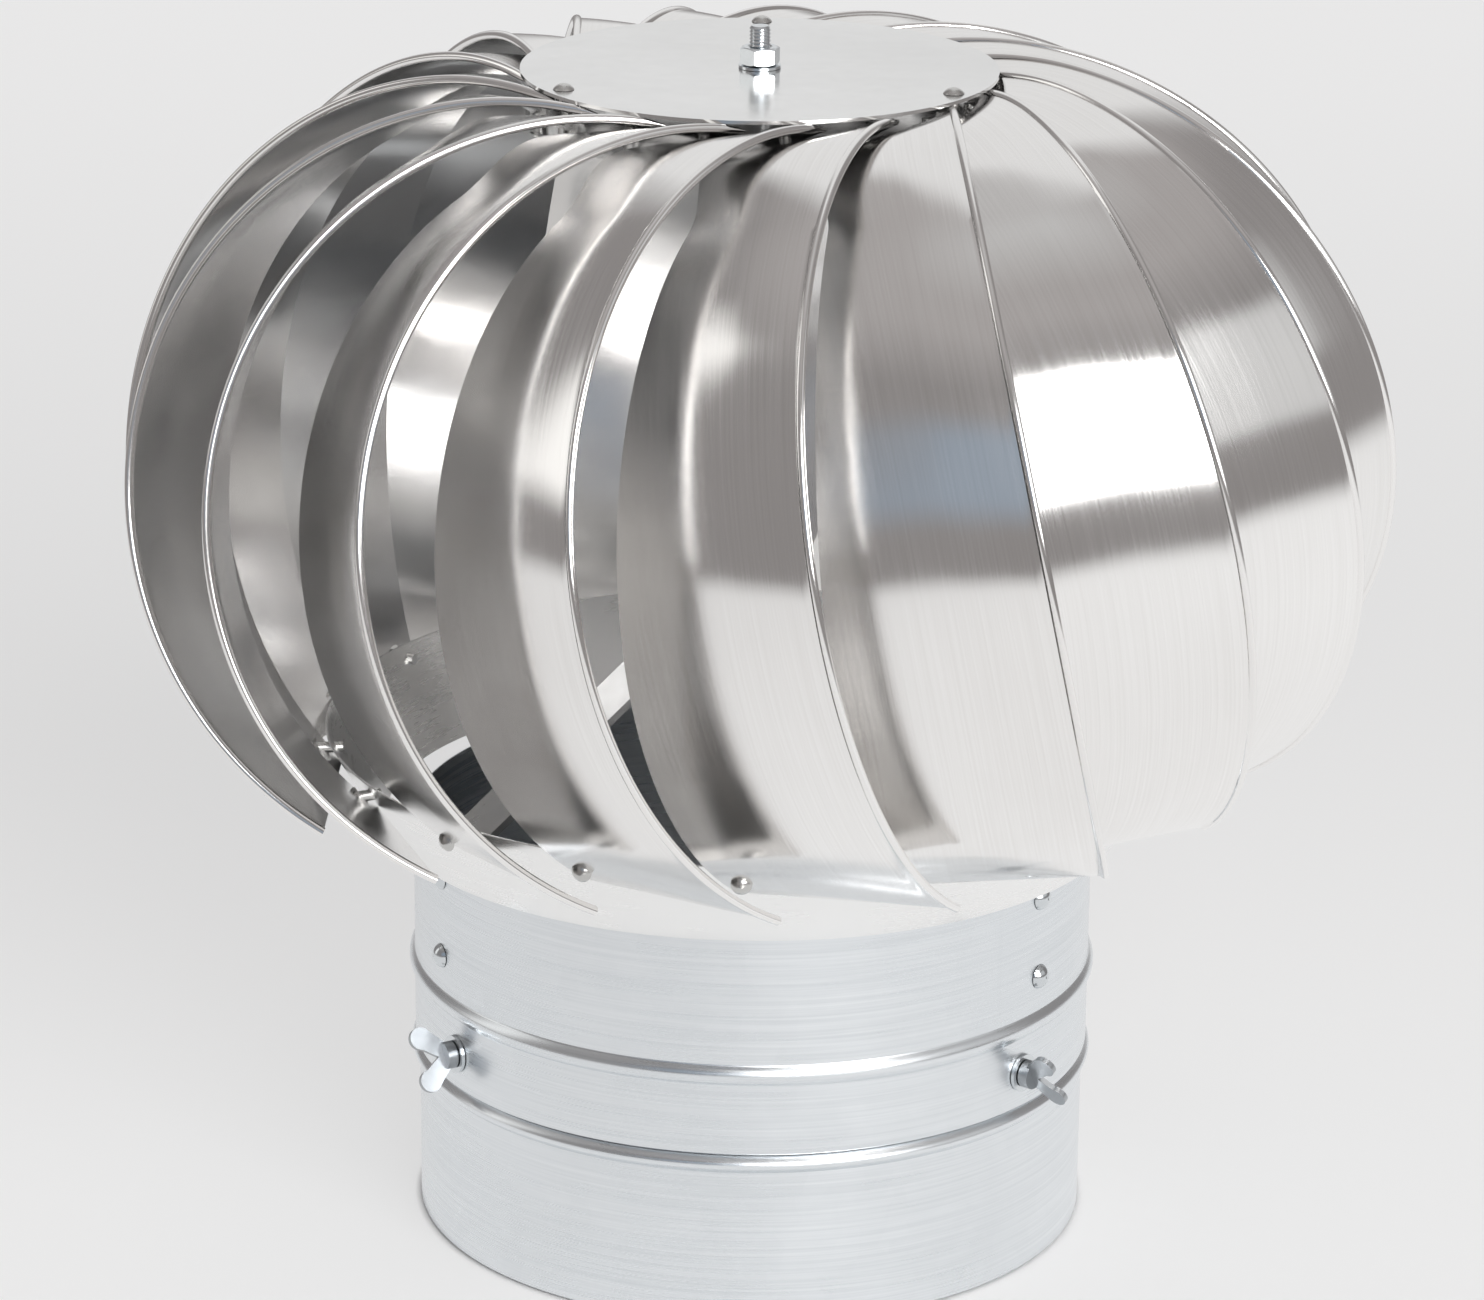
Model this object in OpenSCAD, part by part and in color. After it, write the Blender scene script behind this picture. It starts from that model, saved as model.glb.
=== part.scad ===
// Rotating chimney cowl: a ball of curved blades that spins on a fixed flue collar.
// Sizes in millimetres, +Z up, origin at the centre of the sleeve's bottom rim.
// Angles round the axis start at the front (-Y) and grow towards +X.

/* [Flue sleeve] */
// Outside diameter of the sleeve, which drops into a 200 mm flue socket
sleeve_d = 196.4; // [176.4:5:216.4]
// Sheet thickness of the sleeve and the collar
sheet = 0.8; // [0.6:0.1:1.2]
// Height of the stop bead's middle above the sleeve's bottom rim
stop_bead_z = 48.9; // [35:0.1:60]
// Height of the stop bead
stop_bead_h = 5.5; // [4:0.5:7]
// How far the stop bead stands out of the sleeve
stop_bead_out = 2.2; // [1.8:0.1:4]
// Length of sleeve above the stop bead that the collar slides over
lap = 21; // [15:1:30]

/* [Collar] */
// Gap between the sleeve and the collar that slides over it
slip = 0.4; // [0.3:0.1:0.8]
// Height of the collar's bead
collar_bead_h = 6; // [4:0.5:8]
// How far the collar's bead stands out of the tube
collar_bead_out = 1.6; // [1:0.1:3]
// Length of the collar's tube above its bead
collar_neck = 44.5; // [38:0.5:60]
// Turn of the first leg from the front
station_turn = -64; // [-90:1:0]

/* [Clamp screws] */
// Turn of the place halfway between the two front wing screws
wing_middle = -3.5; // [-10:0.5:10]
// Angle between the two front wing screws
wing_apart = 110; // [90:1:130]
// Thread diameter of the wing screws
wing_thread_d = 5; // [4:1:6]
// Span across the wings
wing_span = 19; // [15:1:26]
// Height of the wings along the screw
wing_h = 9; // [7:0.5:12]
// Thickness of the wings
wing_t = 1.6; // [1.2:0.1:2.4]

/* [Legs and hub] */
// Width of a leg strip
leg_w = 18; // [14:1:24]
// Thickness of a leg strip
leg_t = 2; // [1.5:0.25:3]
// Height of the lower leg screws above the collar bead's middle
leg_screw_up = 13.5; // [12:0.5:17]
// Depth of the upper leg screws below the collar's top rim
leg_screw_down = 7; // [6:0.5:9]
// Height of the hub flange above the collar's top rim
hub_rise = 50; // [40:1:60]
// Diameter of the hub flange
flange_d = 62; // [56:1:70]
// Thickness of the hub flange
flange_t = 2; // [1.5:0.5:4]
// Distance between the two ball bearings
bearing_gap = 38; // [25:1:50]
// Diameter of the leg and hub screws
screw_d = 4; // [3:0.5:5]

/* [Bearings and spindle] */
// Bore of a ball bearing
bearing_bore_d = 8; // [6:1:10]
// Outside diameter of a ball bearing
bearing_d = 22; // [19:1:26]
// Width of a ball bearing
bearing_w = 7; // [6:1:9]
// Balls in a bearing
ball_count = 7; // [6:1:8]
// Diameter of the spindle above the bearings
spindle_d = 12; // [11:1:14]
// Thread diameter of the stud at the top
stud_d = 6; // [5:1:8]
// Length of stud above the cap plate
stud_out = 12; // [10:1:18]

/* [Blades] */
// Number of blades
blade_count = 18; // [16:2:20]
// Radius of the arc that a blade's outer edge follows
arc_r = 109; // [105:1:113]
// How far the arc's centre lies inside the collar's radius
centre_in = 5.8; // [3.4:0.2:8.4]
// Turn of the blade's plane away from the radius
blade_yaw = 37; // [34:1:40]
// Lean of the blade's plane from upright
blade_lean = 12; // [10:1:14]
// Turn of the first blade from the front
blade_phase = 14.1; // [0:0.1:20]
// Angle round the arc where the blade ends at the top
arc_top = 100.4; // [99:0.2:101]
// Angle round the arc where the blade ends at the bottom
arc_bottom = -62.5; // [-66:0.5:-60]
// Turn round the axis that a blade covers at its top end, in blade spacings
top_cover_ratio = 0.95; // [0.9:0.01:1]
// Turn that a blade covers at mid height, in blade spacings
mid_cover_ratio = 0.895; // [0.8:0.005:0.95]
// Turn that a blade covers at its foot, in blade spacings
foot_cover_ratio = 1.24; // [1:0.01:1.35]
// How far the inner edge lies inside the outer edge at the top
inset_top = 4; // [3:0.5:6]
// How far the inner edge lies inside the outer edge at mid height
inset_mid = 25.7; // [20:0.1:30]
// How far the inner edge hangs below the outer edge at the top
tuck = 9.5; // [8.5:0.5:11]
// Extra turn that a blade covers where it closes under the next one, in blade spacings
close_cover_ratio = 0.36; // [0.3:0.01:0.4]
// How far the inner edge rises there
close_rise = 1.9; // [1.4:0.1:2.2]
// How far the blade's top end is bent down towards the cap
top_drop = 1.2; // [0.8:0.1:1.6]
// Crown of the blade across its width
camber = 4.8; // [2:0.2:7]
// Thickness of a blade
blade_t = 0.8; // [0.6:0.1:1.2]
// Radius of the rolled bead along a blade's outer edge
hem_r = 1.3; // [1:0.1:1.8]

/* [Lower ring and cap] */
// Gap between the collar and the lower ring's bottom edge
ring_gap = 8.6; // [7:0.2:12]
// How far the lower ring's bottom edge hangs below the collar's rim
ring_drop = 0.7; // [0:0.1:3]
// Height of the lower ring
ring_h = 28; // [25:1:32]
// How far the lower ring flares out over its height
ring_flare = 17; // [13:1:20]
// Height of the blades' feet above the ring's bottom edge
foot_up = 19.5; // [17:0.1:23]
// Thickness of the lower ring
ring_t = 1; // [0.8:0.1:1.5]
// Diameter of the cap plate
cap_d = 135; // [133:1:139]
// Thickness of the cap plate
cap_t = 1; // [0.8:0.1:2]
// Diameter of the blade disc under the cap
disc_d = 132; // [131:1:134]
// Thickness of the blade disc
disc_t = 1.5; // [1:0.25:3]
// Diameter of a rivet's head
rivet_head_d = 6; // [5:0.5:6.5]
// Diameter of a rivet's shank
rivet_d = 3.2; // [2.5:0.1:4]

/* [Hidden] */
legs = ["leg_left", "leg_right", "leg_rear"];
wings = ["wing_screw_left", "wing_screw_right", "wing_screw_rear"];

round_fn = 96;
small_fn = 32;
seat = 0.1;              // gap left between two pieces that are clamped together
running = 0.05;          // radial clearance of a turning or threaded fit
hole_play = 0.2;         // radial clearance of a screw or rivet in its hole
free_gap = 0.3;          // gap between a wing screw and what it turns beside
thread_end = 1.5;        // thread that shows beyond a nut
bush_wall = 1.5;         // wall of a bush, and the width of its flange
flange_edge = 8;         // distance of the hub screws from the flange's edge
housing_wall = 3;
rivet_tail = 1.5;        // length of a rivet beyond what it holds

sleeve_r = sleeve_d / 2;
sleeve_in_r = sleeve_r - sheet;
collar_in_r = sleeve_r + slip;
collar_r = collar_in_r + sheet;
band_z = stop_bead_z + stop_bead_h / 2 + slip;
collar_bead_z = band_z + lap + collar_bead_h / 2;
sleeve_top_z = collar_bead_z - collar_bead_h / 2 - slip;
collar_top_z = collar_bead_z + collar_neck;
clamp_z = band_z + lap / 2;
stations = [station_turn, station_turn + 120, station_turn + 240];
wing_stations = [wing_middle - wing_apart / 2, wing_middle + wing_apart / 2, wing_middle + 180];

// Screws and nuts, in the usual proportions to their thread.
function nut_r(d) = 0.97 * d;
function nut_h(d) = 0.85 * d;
screw_r = screw_d / 2;
screw_head_r = screw_d * 0.9;
screw_head_h = screw_d * 0.6;
stud_r = stud_d / 2;
washer_h = 0.8;
leg_screw_low_z = collar_bead_z + leg_screw_up;
leg_screw_high_z = collar_top_z - leg_screw_down;

// Threaded bush in the band, and the wing screw that turns in it.
bush_r = wing_thread_d / 2 + bush_wall;
bush_flange_r = bush_r + bush_wall;
bush_flange_t = 1;
bush_face_r = collar_r + seat;
wing_collar_r = bush_face_r + bush_flange_t + free_gap;
wing_neck_r = wing_thread_d * 0.8;
wing_neck_h = 3;
wing_turn = 30;

// Leg strip: flat tab on the tube, slope, flat tab under the hub flange.
hub_tab = 18;            // length of the flat tab under the flange
tab_end = 6;             // length of the tab below its lower screw
tab_r = sqrt(pow(collar_in_r - seat, 2) - pow(leg_w / 2, 2));
flange_z = collar_top_z + hub_rise;
hub_screw_r = flange_d / 2 - flange_edge;

// Bearings in the hub.
housing_r = bearing_d / 2 + housing_wall;
housing_foot = 4;        // housing below the lower bearing
housing_lip = 2;         // housing above the upper bearing
shoulder = 1.5;          // step that an outer race rests on
low_bearing_z = flange_z + flange_t + housing_foot;
high_bearing_z = low_bearing_z + bearing_w + bearing_gap;
high_bearing_top_z = high_bearing_z + bearing_w;
housing_top_z = high_bearing_top_z + housing_lip;
bore_r = bearing_bore_d / 2;
race_t = (bearing_d - bearing_bore_d) / 7;
ball_pitch_r = (bearing_d + bearing_bore_d) / 4;
ball_r = ball_pitch_r - bore_r - race_t - running;
lock_nut_z = low_bearing_z - seat - nut_h(bearing_bore_d);
spindle_low_z = lock_nut_z - thread_end;

// Blade rails. The outer rail is an arc in a leaning plane; the inner rail follows it
// round the axis, closer in.
blade_step = 360 / blade_count;
centre_r = collar_r - centre_in;
ring_low_r = collar_r + ring_gap;
ring_low_z = collar_top_z - ring_drop;
centre_z = ring_low_z + foot_up - arc_r * sin(arc_bottom) * cos(blade_lean);
crown_ratio = 0.85;      // below 1 it moves the crown's ridge towards the outer edge
close_at_ratio = 0.11;   // middle of the stretch that closes on the next blade
close_half_ratio = 0.14; // half that stretch, both as shares of the blade's length
drop_ratio = 0.12;       // share of the blade that is bent down at the top
blade_rows = 18;
across = [1, 0.72, 0.44, 0.2];
hem_turns = [150, 90, 30, -30, -90, -150];

function ring_r(z) = ring_low_r + ring_flare * (z - ring_low_z) / ring_h;
function arc_angle(u) = arc_top + (arc_bottom - arc_top) * u;
// Curve over u = 0 to 1 with the values a at 0, m at 0.5 and b at 1
function through(a, m, b, u) = a * (2 * u - 1) * (u - 1) + m * 4 * u * (1 - u) + b * u * (2 * u - 1);
// Direction from the arc's centre to the outer rail at angle a
function spoke(a) = [
  -cos(a) * cos(blade_yaw) - sin(a) * sin(blade_yaw) * sin(blade_lean),
  -cos(a) * sin(blade_yaw) + sin(a) * cos(blade_yaw) * sin(blade_lean),
  sin(a) * cos(blade_lean)];
function outer_rail(u) = [0, -centre_r, centre_z - top_drop * pow(max(0, 1 - u / drop_ratio), 2)]
  + arc_r * spoke(arc_angle(u));
// Bell curve over the stretch that closes on the next blade
function closing(u) = abs(u - close_at_ratio) > close_half_ratio ? 0
  : 0.5 + 0.5 * cos(180 * (u - close_at_ratio) / close_half_ratio);
// The bead thins out at the blade's top end.
function bead_r(u) = hem_r * min(1, 0.45 + 28 * u);
function polar(p) = [norm([p.x, p.y]), atan2(p.x, -p.y), p.z];
function unpolar(q) = [q[0] * sin(q[1]), -q[0] * cos(q[1]), q[2]];
foot = polar(outer_rail(1));
inset_foot = foot[0] - ring_r(foot[2]) - blade_t / 2 - seat;
function inner_rail(u) = let (p = polar(outer_rail(u))) unpolar([
  p[0] - through(inset_top, inset_mid, inset_foot, u),
  p[1] - blade_step * (through(top_cover_ratio, mid_cover_ratio, foot_cover_ratio, u)
    + close_cover_ratio * closing(u)),
  p[2] - tuck * (1 - u) + close_rise * closing(u)]);
function crown(u, s) = camber * sqrt(max(0, sin(180 * u))) * sin(180 * pow(s, crown_ratio));
// Middle of the blade's sheet: u runs down the blade, s from its outer to its inner edge
function skin(u, s) = outer_rail(u) * (1 - s) + inner_rail(u) * s + crown(u, s) * spoke(arc_angle(u));
function unit(v) = v / norm(v);
function blade_loop(u) = let (
    e = spoke(arc_angle(u)),
    w = unit(outer_rail(u) - inner_rail(u)))
  concat(
    [for (s = across) skin(u, s) + e * blade_t / 2],
    [for (t = hem_turns) outer_rail(u) + bead_r(u) * (cos(t) * w + sin(t) * e)],
    [for (i = [len(across) - 1 : -1 : 0]) skin(u, across[i]) - e * blade_t / 2]);
function blade_name(k) = str("blade_", k < 9 ? "0" : "", k + 1);
function blade_turn(k) = blade_phase + blade_step * k;

// Heights at the top of the head, stacked on the blades.
cap_rest_u = 0.02;       // place along a blade where the cap's rim lies on its bead
disc_z = inner_rail(0).z - blade_t / 2 - seat - disc_t;
cap_z = outer_rail(cap_rest_u).z + bead_r(cap_rest_u) + seat;
cap_top_z = cap_z + cap_t;
cap_nut_turn = 15;

// Rivets: in the cap's rim, at a blade's top end and at its foot.
rivet_head_h = rivet_head_d * 0.28;
cap_rivet_blades = [3, 9, 15];
cap_rivet_at = skin(0.015, 0.66);
cap_rivet_depth = cap_top_z + seat - disc_z + rivet_tail;
top_rivet_at = skin(0.014, 0.34);
foot_rivet_at = polar(skin(0.965, 0.9));

module tube(r_out, r_in, h) {
  difference() {
    cylinder(r = r_out, h = h, $fn = round_fn);
    translate([0, 0, -1]) cylinder(r = r_in, h = h + 2, $fn = round_fn);
  }
}

// Rounded bead, cut flat where it meets the tube's outside.
module bead_section(r, h, out) {
  bulge_r = (h * h / 4 + out * out) / (2 * out);
  intersection() {
    translate([r + out - bulge_r, 0]) circle(r = bulge_r, $fn = small_fn);
    translate([r - sheet / 2, -h / 2]) square([out + sheet, h]);
  }
}

module bead(z, r, h, out) {
  translate([0, 0, z]) rotate_extrude($fn = round_fn) bead_section(r, h, out);
}

// Turns its children to station k, where +X points away from the axis.
module station(k) {
  rotate([0, 0, stations[k] - 90]) children();
}

module wing_station(k) {
  rotate([0, 0, wing_stations[k] - 90]) children();
}

// Hole through a wall of the collar, square to it, at radius r and height z.
module radial_hole(r, z, hole_r) {
  translate([r, 0, z]) rotate([0, 90, 0])
    cylinder(r = hole_r, h = leg_w, center = true, $fn = small_fn);
}

module base_sleeve() {
  color("#c3ced0") {
    tube(sleeve_r, sleeve_in_r, sleeve_top_z);
    bead(stop_bead_z, sleeve_r, stop_bead_h, stop_bead_out);
  }
}

module collar_tube() {
  color("#c3ced0") difference() {
    union() {
      translate([0, 0, band_z]) tube(collar_r, collar_in_r, collar_top_z - band_z);
      bead(collar_bead_z, collar_r, collar_bead_h, collar_bead_out);
    }
    for (k = [0 : 2]) {
      station(k) radial_hole(collar_r, leg_screw_low_z, screw_r + hole_play);
      station(k) radial_hole(collar_r, leg_screw_high_z, screw_r + hole_play);
      wing_station(k) radial_hole(collar_r, clamp_z, bush_r + running);
    }
  }
}

// Threaded bush riveted into the band, in which the wing screw turns.
module clamp_nuts() {
  color("#b9bec2") for (k = [0 : 2]) wing_station(k) translate([0, 0, clamp_z]) rotate([0, 90, 0])
    difference() {
      union() {
        translate([0, 0, collar_in_r])
          cylinder(r = bush_r, h = bush_face_r - collar_in_r + bush_flange_t / 2, $fn = small_fn);
        translate([0, 0, bush_face_r]) cylinder(r = bush_flange_r, h = bush_flange_t, $fn = small_fn);
      }
      translate([0, 0, collar_in_r - 1])
        cylinder(r = wing_thread_d / 2 + running, h = wing_collar_r - collar_in_r + 1, $fn = small_fn);
    }
}

// Wing screw: its point stops just short of the sleeve.
module wing_screw(k) {
  point_r = sleeve_r + free_gap;
  color("#c9cdd0") wing_station(k) translate([0, 0, clamp_z]) rotate([0, 90, 0]) {
    translate([0, 0, point_r])
      cylinder(r = wing_thread_d / 2, h = wing_collar_r - point_r + 1, $fn = small_fn);
    translate([0, 0, wing_collar_r]) cylinder(r = wing_neck_r, h = wing_neck_h, $fn = small_fn);
    translate([0, 0, wing_collar_r + wing_neck_h]) rotate([90, 0, wing_turn]) wing_plate();
  }
}

// Two rounded ears in a V.
module wing_plate() {
  ear_r = wing_h * 0.36;
  ear_x = wing_span / 2 - ear_r;
  ear_z = wing_h - ear_r;
  translate([0, 0, -wing_t / 2]) linear_extrude(wing_t) for (side = [-1, 1]) {
    translate([side * ear_x, ear_z]) circle(r = ear_r, $fn = small_fn);
    polygon([[0, -1], [side * wing_neck_r, -1], [side * (ear_x + ear_r * 0.8), ear_z - ear_r * 0.6],
      [side * (ear_x - ear_r * 0.7), ear_z + ear_r * 0.5], [0, ear_r / 2]]);
  }
}

// Side outline of a leg, drawn as radius and height: outer face, then inner face.
function leg_outline() = let (
    low_z = leg_screw_low_z - tab_end,
    bend_z = collar_top_z - leg_t / 2,
    under_z = flange_z - seat,
    bend_r = housing_r + hub_tab)
  [[tab_r, low_z], [tab_r, bend_z], [bend_r + leg_t, under_z], [housing_r, under_z],
    [housing_r, under_z - leg_t], [bend_r + leg_t / 2, under_z - leg_t],
    [tab_r - leg_t, bend_z - leg_t / 2], [tab_r - leg_t, low_z]];

module leg(k) {
  color("#b4babd") station(k) difference() {
    translate([0, leg_w / 2, 0]) rotate([90, 0, 0]) linear_extrude(leg_w) polygon(leg_outline());
    radial_hole(tab_r, leg_screw_low_z, screw_r + hole_play);
    radial_hole(tab_r, leg_screw_high_z, screw_r + hole_play);
    translate([hub_screw_r, 0, flange_z - leg_t - 1])
      cylinder(r = screw_r + hole_play, h = leg_t + 2, $fn = small_fn);
  }
}

// Domed head on z = 0 with a shank that hangs below, for a screw or a rivet.
module headed_pin(head_r, head_h, shank_r, length) {
  dome_r = (head_r * head_r + head_h * head_h) / (2 * head_h);
  intersection() {
    cylinder(r = head_r, h = head_h, $fn = small_fn);
    translate([0, 0, head_h - dome_r]) sphere(r = dome_r, $fn = small_fn);
  }
  translate([0, 0, -length]) cylinder(r = shank_r, h = length + head_h / 4, $fn = small_fn);
}

module round_screw(length) {
  headed_pin(screw_head_r, screw_head_h, screw_r, length);
}

module rivet(length) {
  headed_pin(rivet_head_d / 2, rivet_head_h, rivet_d / 2, length);
}

// Hexagon nut with two flats square to Y.
module hex_nut(d) {
  difference() {
    cylinder(r = nut_r(d), h = nut_h(d), $fn = 6);
    translate([0, 0, -1]) cylinder(r = d / 2 + running, h = nut_h(d) + 2, $fn = small_fn);
  }
}

module leg_screws() {
  length = collar_r - tab_r + leg_t + nut_h(screw_d) + thread_end;
  color("#c9cdd0") for (k = [0 : 2], z = [leg_screw_low_z, leg_screw_high_z])
    station(k) translate([collar_r + seat, 0, z]) rotate([0, 90, 0]) round_screw(length);
}

module leg_nuts() {
  color("#c9cdd0") for (k = [0 : 2], z = [leg_screw_low_z, leg_screw_high_z])
    station(k) translate([tab_r - leg_t - seat, 0, z]) rotate([0, -90, 0]) rotate([0, 0, 30])
      hex_nut(screw_d);
}

module hub_screws() {
  color("#c9cdd0") for (k = [0 : 2]) station(k)
    translate([hub_screw_r, 0, flange_z + flange_t + seat])
      round_screw(flange_t + leg_t + nut_h(screw_d) + thread_end);
}

module hub_nuts() {
  color("#c9cdd0") for (k = [0 : 2]) station(k)
    translate([hub_screw_r, 0, flange_z - leg_t - 2 * seat - nut_h(screw_d)]) hex_nut(screw_d);
}

module bearing_housing() {
  color("#a9afb3") difference() {
    union() {
      translate([0, 0, flange_z]) cylinder(r = flange_d / 2, h = flange_t, $fn = round_fn);
      translate([0, 0, flange_z]) cylinder(r = housing_r, h = housing_top_z - flange_z, $fn = round_fn);
    }
    translate([0, 0, flange_z - 1])
      cylinder(r = bearing_d / 2, h = low_bearing_z + bearing_w - flange_z + 1, $fn = round_fn);
    translate([0, 0, flange_z])
      cylinder(r = bearing_d / 2 - shoulder, h = housing_top_z - flange_z, $fn = round_fn);
    translate([0, 0, high_bearing_z])
      cylinder(r = bearing_d / 2, h = bearing_w + housing_lip + 1, $fn = round_fn);
    for (k = [0 : 2]) station(k) translate([hub_screw_r, 0, flange_z - 1])
      cylinder(r = screw_r + hole_play, h = flange_t + 2, $fn = small_fn);
  }
}

module outer_race(z) {
  color("#8f9498") translate([0, 0, z + running])
    tube(bearing_d / 2 - running / 2, bearing_d / 2 - race_t, bearing_w - 2 * running);
}

module inner_race(z) {
  color("#8f9498") translate([0, 0, z + running])
    tube(bore_r + race_t, bore_r + running / 2, bearing_w - 2 * running);
}

module balls(z) {
  color("#d5d8da") for (i = [0 : ball_count - 1]) rotate([0, 0, i * 360 / ball_count])
    translate([ball_pitch_r, 0, z + bearing_w / 2]) sphere(r = ball_r, $fn = small_fn);
}

// Spindle: thin through the bearings, thicker above them, and a threaded stud on top.
module spindle() {
  shaft_z = high_bearing_top_z + seat;
  color("#b9bdc0") {
    translate([0, 0, spindle_low_z]) cylinder(r = bore_r, h = shaft_z - spindle_low_z + 1, $fn = small_fn);
    translate([0, 0, shaft_z]) cylinder(r = spindle_d / 2, h = disc_z - seat - shaft_z, $fn = small_fn);
    translate([0, 0, disc_z - 1])
      cylinder(r = stud_r, h = cap_top_z + stud_out - disc_z + 1, $fn = small_fn);
  }
}

module race_spacer() {
  color("#b9bdc0") translate([0, 0, low_bearing_z + bearing_w + seat])
    tube(bore_r + race_t, bore_r + running, bearing_gap - 2 * seat);
}

module lock_nut() {
  color("#c9cdd0") translate([0, 0, lock_nut_z]) hex_nut(bearing_bore_d);
}

// Hole at blade k for a rivet at place p, through a plate from z up.
module rivet_hole(k, p, z, plate_t) {
  rotate([0, 0, blade_turn(k)]) translate([p.x, p.y, z - 1])
    cylinder(r = rivet_d / 2 + hole_play, h = plate_t + 2, $fn = small_fn);
}

module blade_disc() {
  color("#b7b4b0") difference() {
    translate([0, 0, disc_z]) tube(disc_d / 2, stud_r + running, disc_t);
    for (k = [0 : blade_count - 1]) rivet_hole(k, top_rivet_at, disc_z, disc_t);
    for (k = cap_rivet_blades) rivet_hole(k, cap_rivet_at, disc_z, disc_t);
  }
}

module cap_spacer() {
  color("#b9bdc0") translate([0, 0, disc_z + disc_t + seat])
    tube(spindle_d / 2 + 1, stud_r + running, cap_z - disc_z - disc_t - 2 * seat);
}

module cap_plate() {
  color("#c9c7c4") difference() {
    translate([0, 0, cap_z]) tube(cap_d / 2, stud_r + running, cap_t);
    for (k = cap_rivet_blades) rivet_hole(k, cap_rivet_at, cap_z, cap_t);
  }
}

module cap_washer() {
  color("#d3d5d6") translate([0, 0, cap_top_z + seat]) tube(stud_d, stud_r + running, washer_h);
}

module cap_nut() {
  color("#cfd2d4") translate([0, 0, cap_top_z + washer_h + 2 * seat])
    rotate([0, 0, cap_nut_turn]) hex_nut(stud_d);
}

module cap_rivets() {
  color("#b9b7b4") for (k = cap_rivet_blades) rotate([0, 0, blade_turn(k)])
    translate([cap_rivet_at.x, cap_rivet_at.y, cap_top_z + seat]) rivet(cap_rivet_depth);
}

// The heads lie under the disc, and the shanks end in the blades.
module top_rivets() {
  head_z = disc_z - seat;
  color("#b9b7b4") for (k = [0 : blade_count - 1]) rotate([0, 0, blade_turn(k)])
    translate([top_rivet_at.x, top_rivet_at.y, head_z]) rotate([180, 0, 0])
      rivet(top_rivet_at.z + blade_t - head_z);
}

module foot_rivets() {
  head_r = foot_rivet_at[0] + blade_t;
  tail_r = ring_r(foot_rivet_at[2]) - ring_t - rivet_tail;
  color("#b9b7b4") for (k = [0 : blade_count - 1]) rotate([0, 0, blade_turn(k) + foot_rivet_at[1]])
    translate([0, -head_r, foot_rivet_at[2]]) rotate([90, 0, 0]) rivet(head_r - tail_r);
}

// Flared ring that holds the blades' feet, drawn as radius and height.
module lower_ring() {
  high_r = ring_low_r + ring_flare;
  high_z = ring_low_z + ring_h;
  color("#d6d4d0") rotate_extrude($fn = round_fn) polygon([
    [ring_low_r - ring_t, ring_low_z], [ring_low_r, ring_low_z],
    [high_r, high_z], [high_r - ring_t, high_z]]);
}

// One blade: a strip between its two rails, with a rolled bead on the outer one.
module blade(k) {
  n = 2 * len(across) + len(hem_turns);
  rings = [for (i = [0 : blade_rows]) blade_loop(pow(i / blade_rows, 1.3))];
  points = [for (ring = rings, p = ring) p];
  // Both faces of the sheet are split along the same diagonals.
  sides = [for (i = [0 : blade_rows - 1], j = [0 : n - 1]) let (
      a = i * n + j, b = i * n + (j + 1) % n)
      each j < n / 2 ? [[a, b, b + n], [a, b + n, a + n]] : [[a, b, a + n], [b, b + n, a + n]]];
  caps = [for (j = [0 : n / 2 - 2]) let (m = blade_rows * n) each [
      [j, n - 1 - j, n - 2 - j], [j, n - 2 - j, j + 1],
      [m + j, m + n - 2 - j, m + n - 1 - j], [m + j, m + j + 1, m + n - 2 - j]]];
  color("#a79f9a") rotate([0, 0, blade_turn(k)]) polyhedron(points, concat(sides, caps));
}

base_sleeve();
collar_tube();
for (k = [0 : 2]) leg(k);
leg_screws();
leg_nuts();
clamp_nuts();
bearing_housing();
hub_screws();
hub_nuts();
outer_race(low_bearing_z);  // lower_outer_race
outer_race(high_bearing_z);  // upper_outer_race
balls(low_bearing_z);  // lower_balls
balls(high_bearing_z);  // upper_balls
spindle();
inner_race(low_bearing_z);  // lower_inner_race
inner_race(high_bearing_z);  // upper_inner_race
race_spacer();
lock_nut();
blade_disc();
cap_spacer();
cap_plate();
cap_washer();
cap_nut();
cap_rivets();
lower_ring();
foot_rivets();
top_rivets();
for (k = [0 : blade_count - 1]) blade(k);
for (k = [0 : 2]) wing_screw(k);
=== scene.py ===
import math
import bpy
import numpy as np
from mathutils import Matrix, Vector, noise


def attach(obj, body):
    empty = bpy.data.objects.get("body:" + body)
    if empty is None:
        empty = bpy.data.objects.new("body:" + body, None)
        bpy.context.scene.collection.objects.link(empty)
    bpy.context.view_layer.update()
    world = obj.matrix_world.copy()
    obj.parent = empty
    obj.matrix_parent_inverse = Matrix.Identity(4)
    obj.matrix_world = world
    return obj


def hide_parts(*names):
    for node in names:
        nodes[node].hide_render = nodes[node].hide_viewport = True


# Looks of the rotating chimney cowl. +Z up, -Y to the front, origin at the centre of the sleeve's bottom rim.
# Pieces are in millimetres and degrees. UVs, looks, the studio and the view are in metres and degrees.
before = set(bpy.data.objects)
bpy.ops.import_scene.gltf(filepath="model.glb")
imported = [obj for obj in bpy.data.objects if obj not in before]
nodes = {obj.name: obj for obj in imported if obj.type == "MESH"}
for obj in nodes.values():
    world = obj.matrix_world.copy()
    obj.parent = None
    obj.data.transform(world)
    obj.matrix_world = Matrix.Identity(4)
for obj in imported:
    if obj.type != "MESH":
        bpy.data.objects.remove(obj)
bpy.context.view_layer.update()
mm = 0.001
print("frame loaded")


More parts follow.
